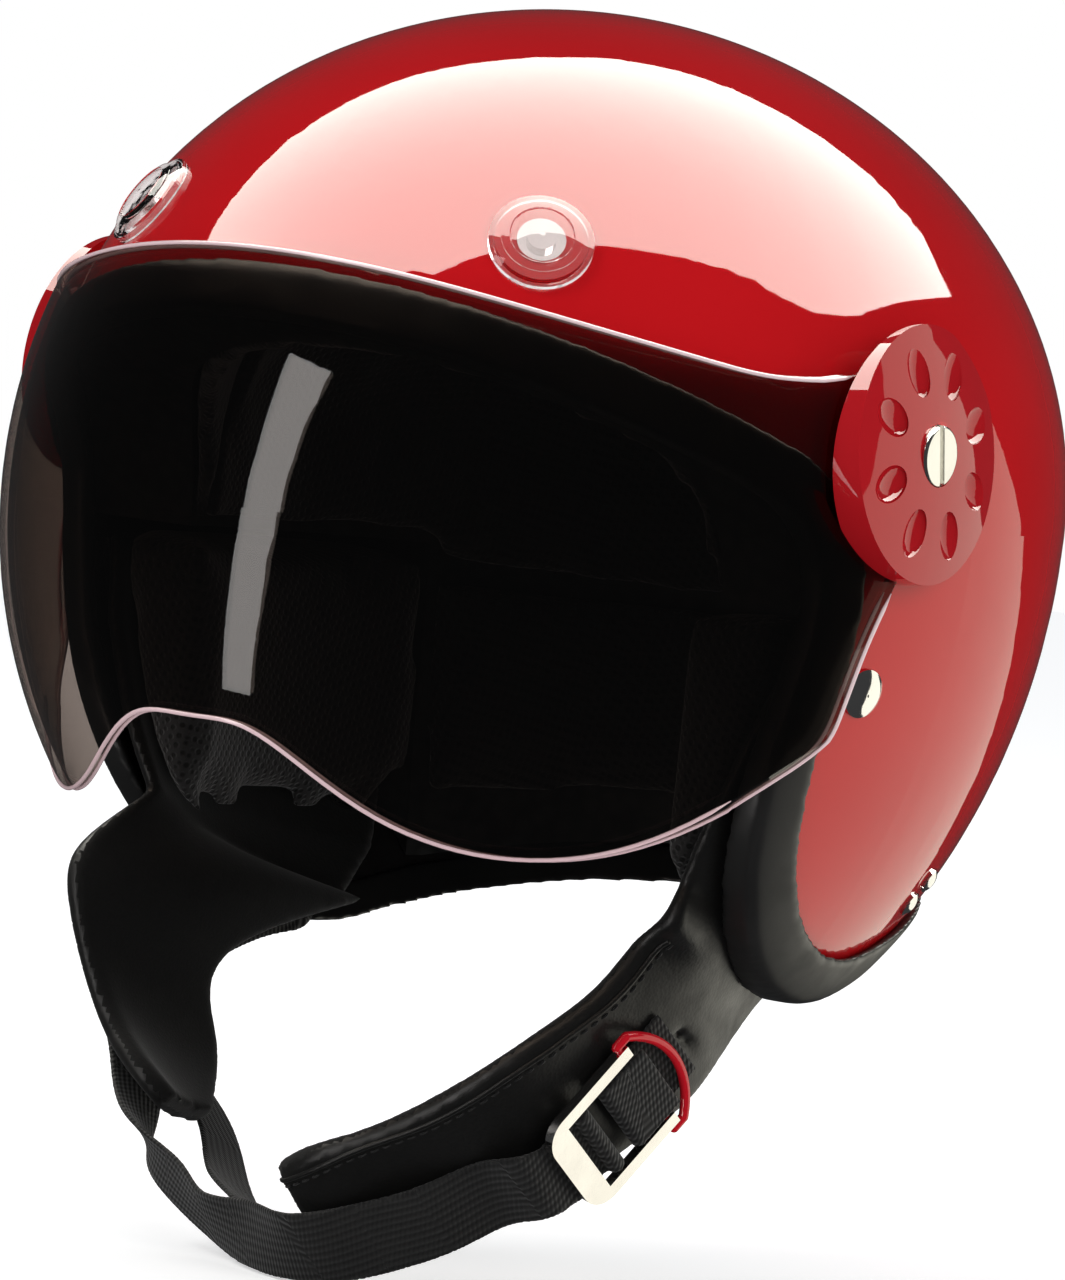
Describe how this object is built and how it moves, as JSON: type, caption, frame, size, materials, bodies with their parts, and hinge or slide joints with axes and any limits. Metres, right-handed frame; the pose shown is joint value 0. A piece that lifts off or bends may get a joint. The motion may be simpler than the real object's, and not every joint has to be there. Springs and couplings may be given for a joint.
{
  "type": "motorcycle helmet",
  "caption": "Open-face motorcycle helmet: domed shell, edge moulding, padded liner, ear flaps, swinging smoke visor on coin-slot pivots, webbing chin strap with slide buckle and release loop.",
  "frame": {"origin": "middle of the shell at its widest level, on the middle plane; the point the padding is built round", "axes": "+Z towards the crown, -Y the way the face looks, +X the wearer's left"},
  "size_m": [0.2552, 0.293, 0.3152],
  "materials": {
    "shell_paint": "clear-coated red on a moulded composite shell",
    "edge_moulding": "smooth satin black moulding",
    "liner_foam": "expanded bead foam, black",
    "comfort_cloth": "black mesh cloth over soft foam",
    "flap_skin": "black leatherette with stitched seams",
    "webbing": "ribbed black webbing",
    "buckle_metal": "bright polished",
    "loop_red": "red plastic coated wire",
    "visor_smoke": "clear gloss, light smoke tint",
    "disc_plastic": "moulded red, gloss",
    "screw_metal": "polished, coin slot",
    "spacer_plastic": "moulded",
    "washer_plastic": "nylon",
    "plain_steel": "zinc plated",
    "clear_cap": "clear domed plastic",
    "stud_chrome": "polished",
    "rivet_chrome": "polished head"
  },
  "bodies": {
    "helmet": {"outer_shell": "shell_paint", "edge_trim": "edge_moulding", "impact_liner": "liner_foam", "brow_pad": "comfort_cloth", "nape_pad": "comfort_cloth", "crown_pad": "comfort_cloth", "cheek_pad_left": "comfort_cloth", "cheek_pad_right": "comfort_cloth", "ear_flap_left": "flap_skin", "ear_flap_right": "flap_skin", "strap_left": "webbing", "strap_main": "webbing", "strap_rear_right": "webbing", "buckle_frame": "buckle_metal", "keeper_pin": "buckle_metal", "slide_bar": "buckle_metal", "coin_screw_left": "screw_metal", "coin_screw_right": "screw_metal", "pivot_spacer_left": "spacer_plastic", "pivot_spacer_right": "spacer_plastic", "pivot_washer_left": "washer_plastic", "pivot_washer_right": "washer_plastic", "pivot_nut_left": "plain_steel", "pivot_nut_right": "plain_steel", "snap_cap_left": "clear_cap", "snap_cap_right": "clear_cap", "snap_stud_left": "stud_chrome", "snap_stud_right": "stud_chrome", "snap_back_left": "plain_steel", "snap_back_right": "plain_steel", "cheek_rivet_left": "rivet_chrome", "cheek_rivet_right": "rivet_chrome", "cheek_plate_left": "plain_steel", "cheek_plate_right": "plain_steel", "rear_rivets_left": "stud_chrome", "rear_rivets_right": "stud_chrome", "rear_plate_left": "plain_steel", "rear_plate_right": "plain_steel"},
    "visor": {"visor": "visor_smoke", "pivot_disc_left": "disc_plastic", "pivot_disc_right": "disc_plastic"},
    "release_loop": {"release_loop": "loop_red"}
  },
  "joints": [
    {"name": "visor_hinge", "type": "hinge", "parent": "helmet", "child": "visor", "pos_m": [0, -0.03, 0.0175], "axis": [-1, 0, 0], "range_deg": [0, 70]},
    {"name": "release_loop_hinge", "type": "hinge", "parent": "helmet", "child": "release_loop", "pos_m": [0.06997, -0.03724, -0.14106], "axis": [0.013, 0.8214, -0.5703], "range_deg": [0, 60]}
  ]
}
